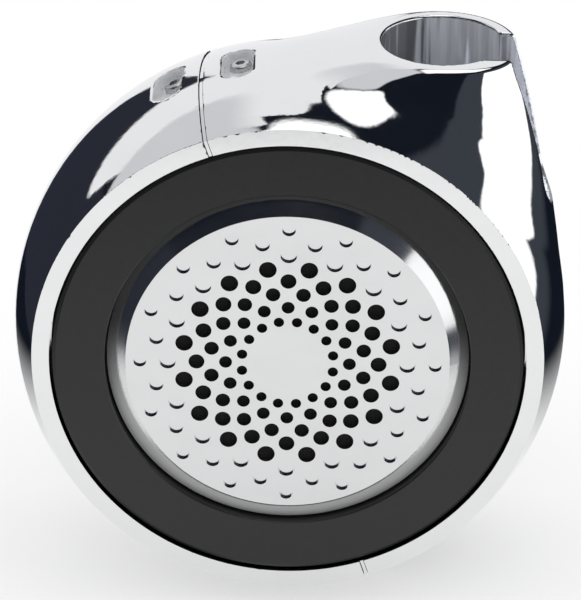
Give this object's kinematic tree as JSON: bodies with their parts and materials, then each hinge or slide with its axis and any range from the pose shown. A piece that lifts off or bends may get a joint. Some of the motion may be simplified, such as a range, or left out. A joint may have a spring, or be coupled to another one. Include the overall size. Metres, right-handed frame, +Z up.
{
  "type": "shower speaker",
  "caption": "Round chrome shower speaker: a split drum with a perforated front disc in a black ring, and a slotted upright sleeve at one side that slides over a shower pipe.",
  "frame": {"origin": "on the sleeve bore's axis, level with the drum's axis", "axes": "+Z up along the bore, -Y out of the grille, +X from the drum towards the sleeve"},
  "size_m": [0.14, 0.0626, 0.1445],
  "materials": {
    "chrome": "mirror",
    "grille_chrome": "mirror",
    "steel": "satin",
    "bezel_black": "satin",
    "seal_rubber": "matte",
    "inner_plastic": "matte",
    "membrane_fabric": "matte",
    "basket_black": "satin",
    "ferrite": "matte",
    "copper": "satin",
    "cone_plastic": "matte",
    "spider_fabric": "matte",
    "lead_red": "gloss",
    "cell_wrap": "gloss",
    "board_green": "gloss",
    "chip_black": "matte",
    "capacitor_metal": "satin",
    "connector_cream": "matte",
    "socket_steel": "satin",
    "button_grey": "satin",
    "cover_black": "satin",
    "flap_rubber": "matte"
  },
  "bodies": {
    "speaker": {"left_shell": "chrome", "right_shell": "chrome", "seam_strip": "chrome", "grille": "grille_chrome", "shell_screws": "steel", "seam_bridge": "steel", "bezel_ring": "bezel_black", "bezel_gasket": "seal_rubber", "bezel_screws": "steel", "baffle": "inner_plastic", "baffle_screws": "steel", "grille_seal": "seal_rubber", "acoustic_membrane": "membrane_fabric", "membrane_ring": "inner_plastic", "driver_basket": "basket_black", "driver_screws": "steel", "top_plate": "steel", "magnet": "ferrite", "pole_yoke": "steel", "surround": "seal_rubber", "spider": "spider_fabric", "driver_leads": "lead_red", "battery": "cell_wrap", "battery_cradle": "inner_plastic", "cradle_screws": "steel", "battery_leads": "lead_red", "main_board": "board_green", "board_chips": "chip_black", "board_capacitors": "capacitor_metal", "board_connectors": "connector_cream", "board_screws": "steel", "charge_socket": "socket_steel", "tact_switches": "connector_cream", "rear_cover": "cover_black", "cover_gasket": "seal_rubber", "cover_screws": "steel", "flap_anchor": "flap_rubber"},
    "cone_body": {"cone": "cone_plastic", "dust_cap": "cone_plastic", "voice_coil": "copper"},
    "power_key": {"power_button": "button_grey"},
    "volume_up_key": {"volume_up_button": "button_grey"},
    "volume_down_key": {"volume_down_button": "button_grey"},
    "flap": {"port_flap": "flap_rubber"}
  },
  "joints": [
    {"name": "cone_travel", "type": "slide", "parent": "speaker", "child": "cone_body", "axis": [0, -1, 0], "range_m": [-0.0015, 0.0015], "stiffness_N_per_m": 1500},
    {"name": "power_press", "type": "slide", "parent": "speaker", "child": "power_key", "axis": [0, -1, 0], "range_m": [0, 0.0009], "stiffness_N_per_m": 1200},
    {"name": "volume_up_press", "type": "slide", "parent": "speaker", "child": "volume_up_key", "axis": [0, -1, 0], "range_m": [0, 0.0009], "stiffness_N_per_m": 1200},
    {"name": "volume_down_press", "type": "slide", "parent": "speaker", "child": "volume_down_key", "axis": [0, -1, 0], "range_m": [0, 0.0009], "stiffness_N_per_m": 1200},
    {"name": "flap_hinge", "type": "hinge", "parent": "speaker", "child": "flap", "pos_m": [-0.0472, 0.029, -0.016], "axis": [0, 0, 1], "range_deg": [0, 115], "stiffness_Nm_per_rad": 0.004}
  ]
}
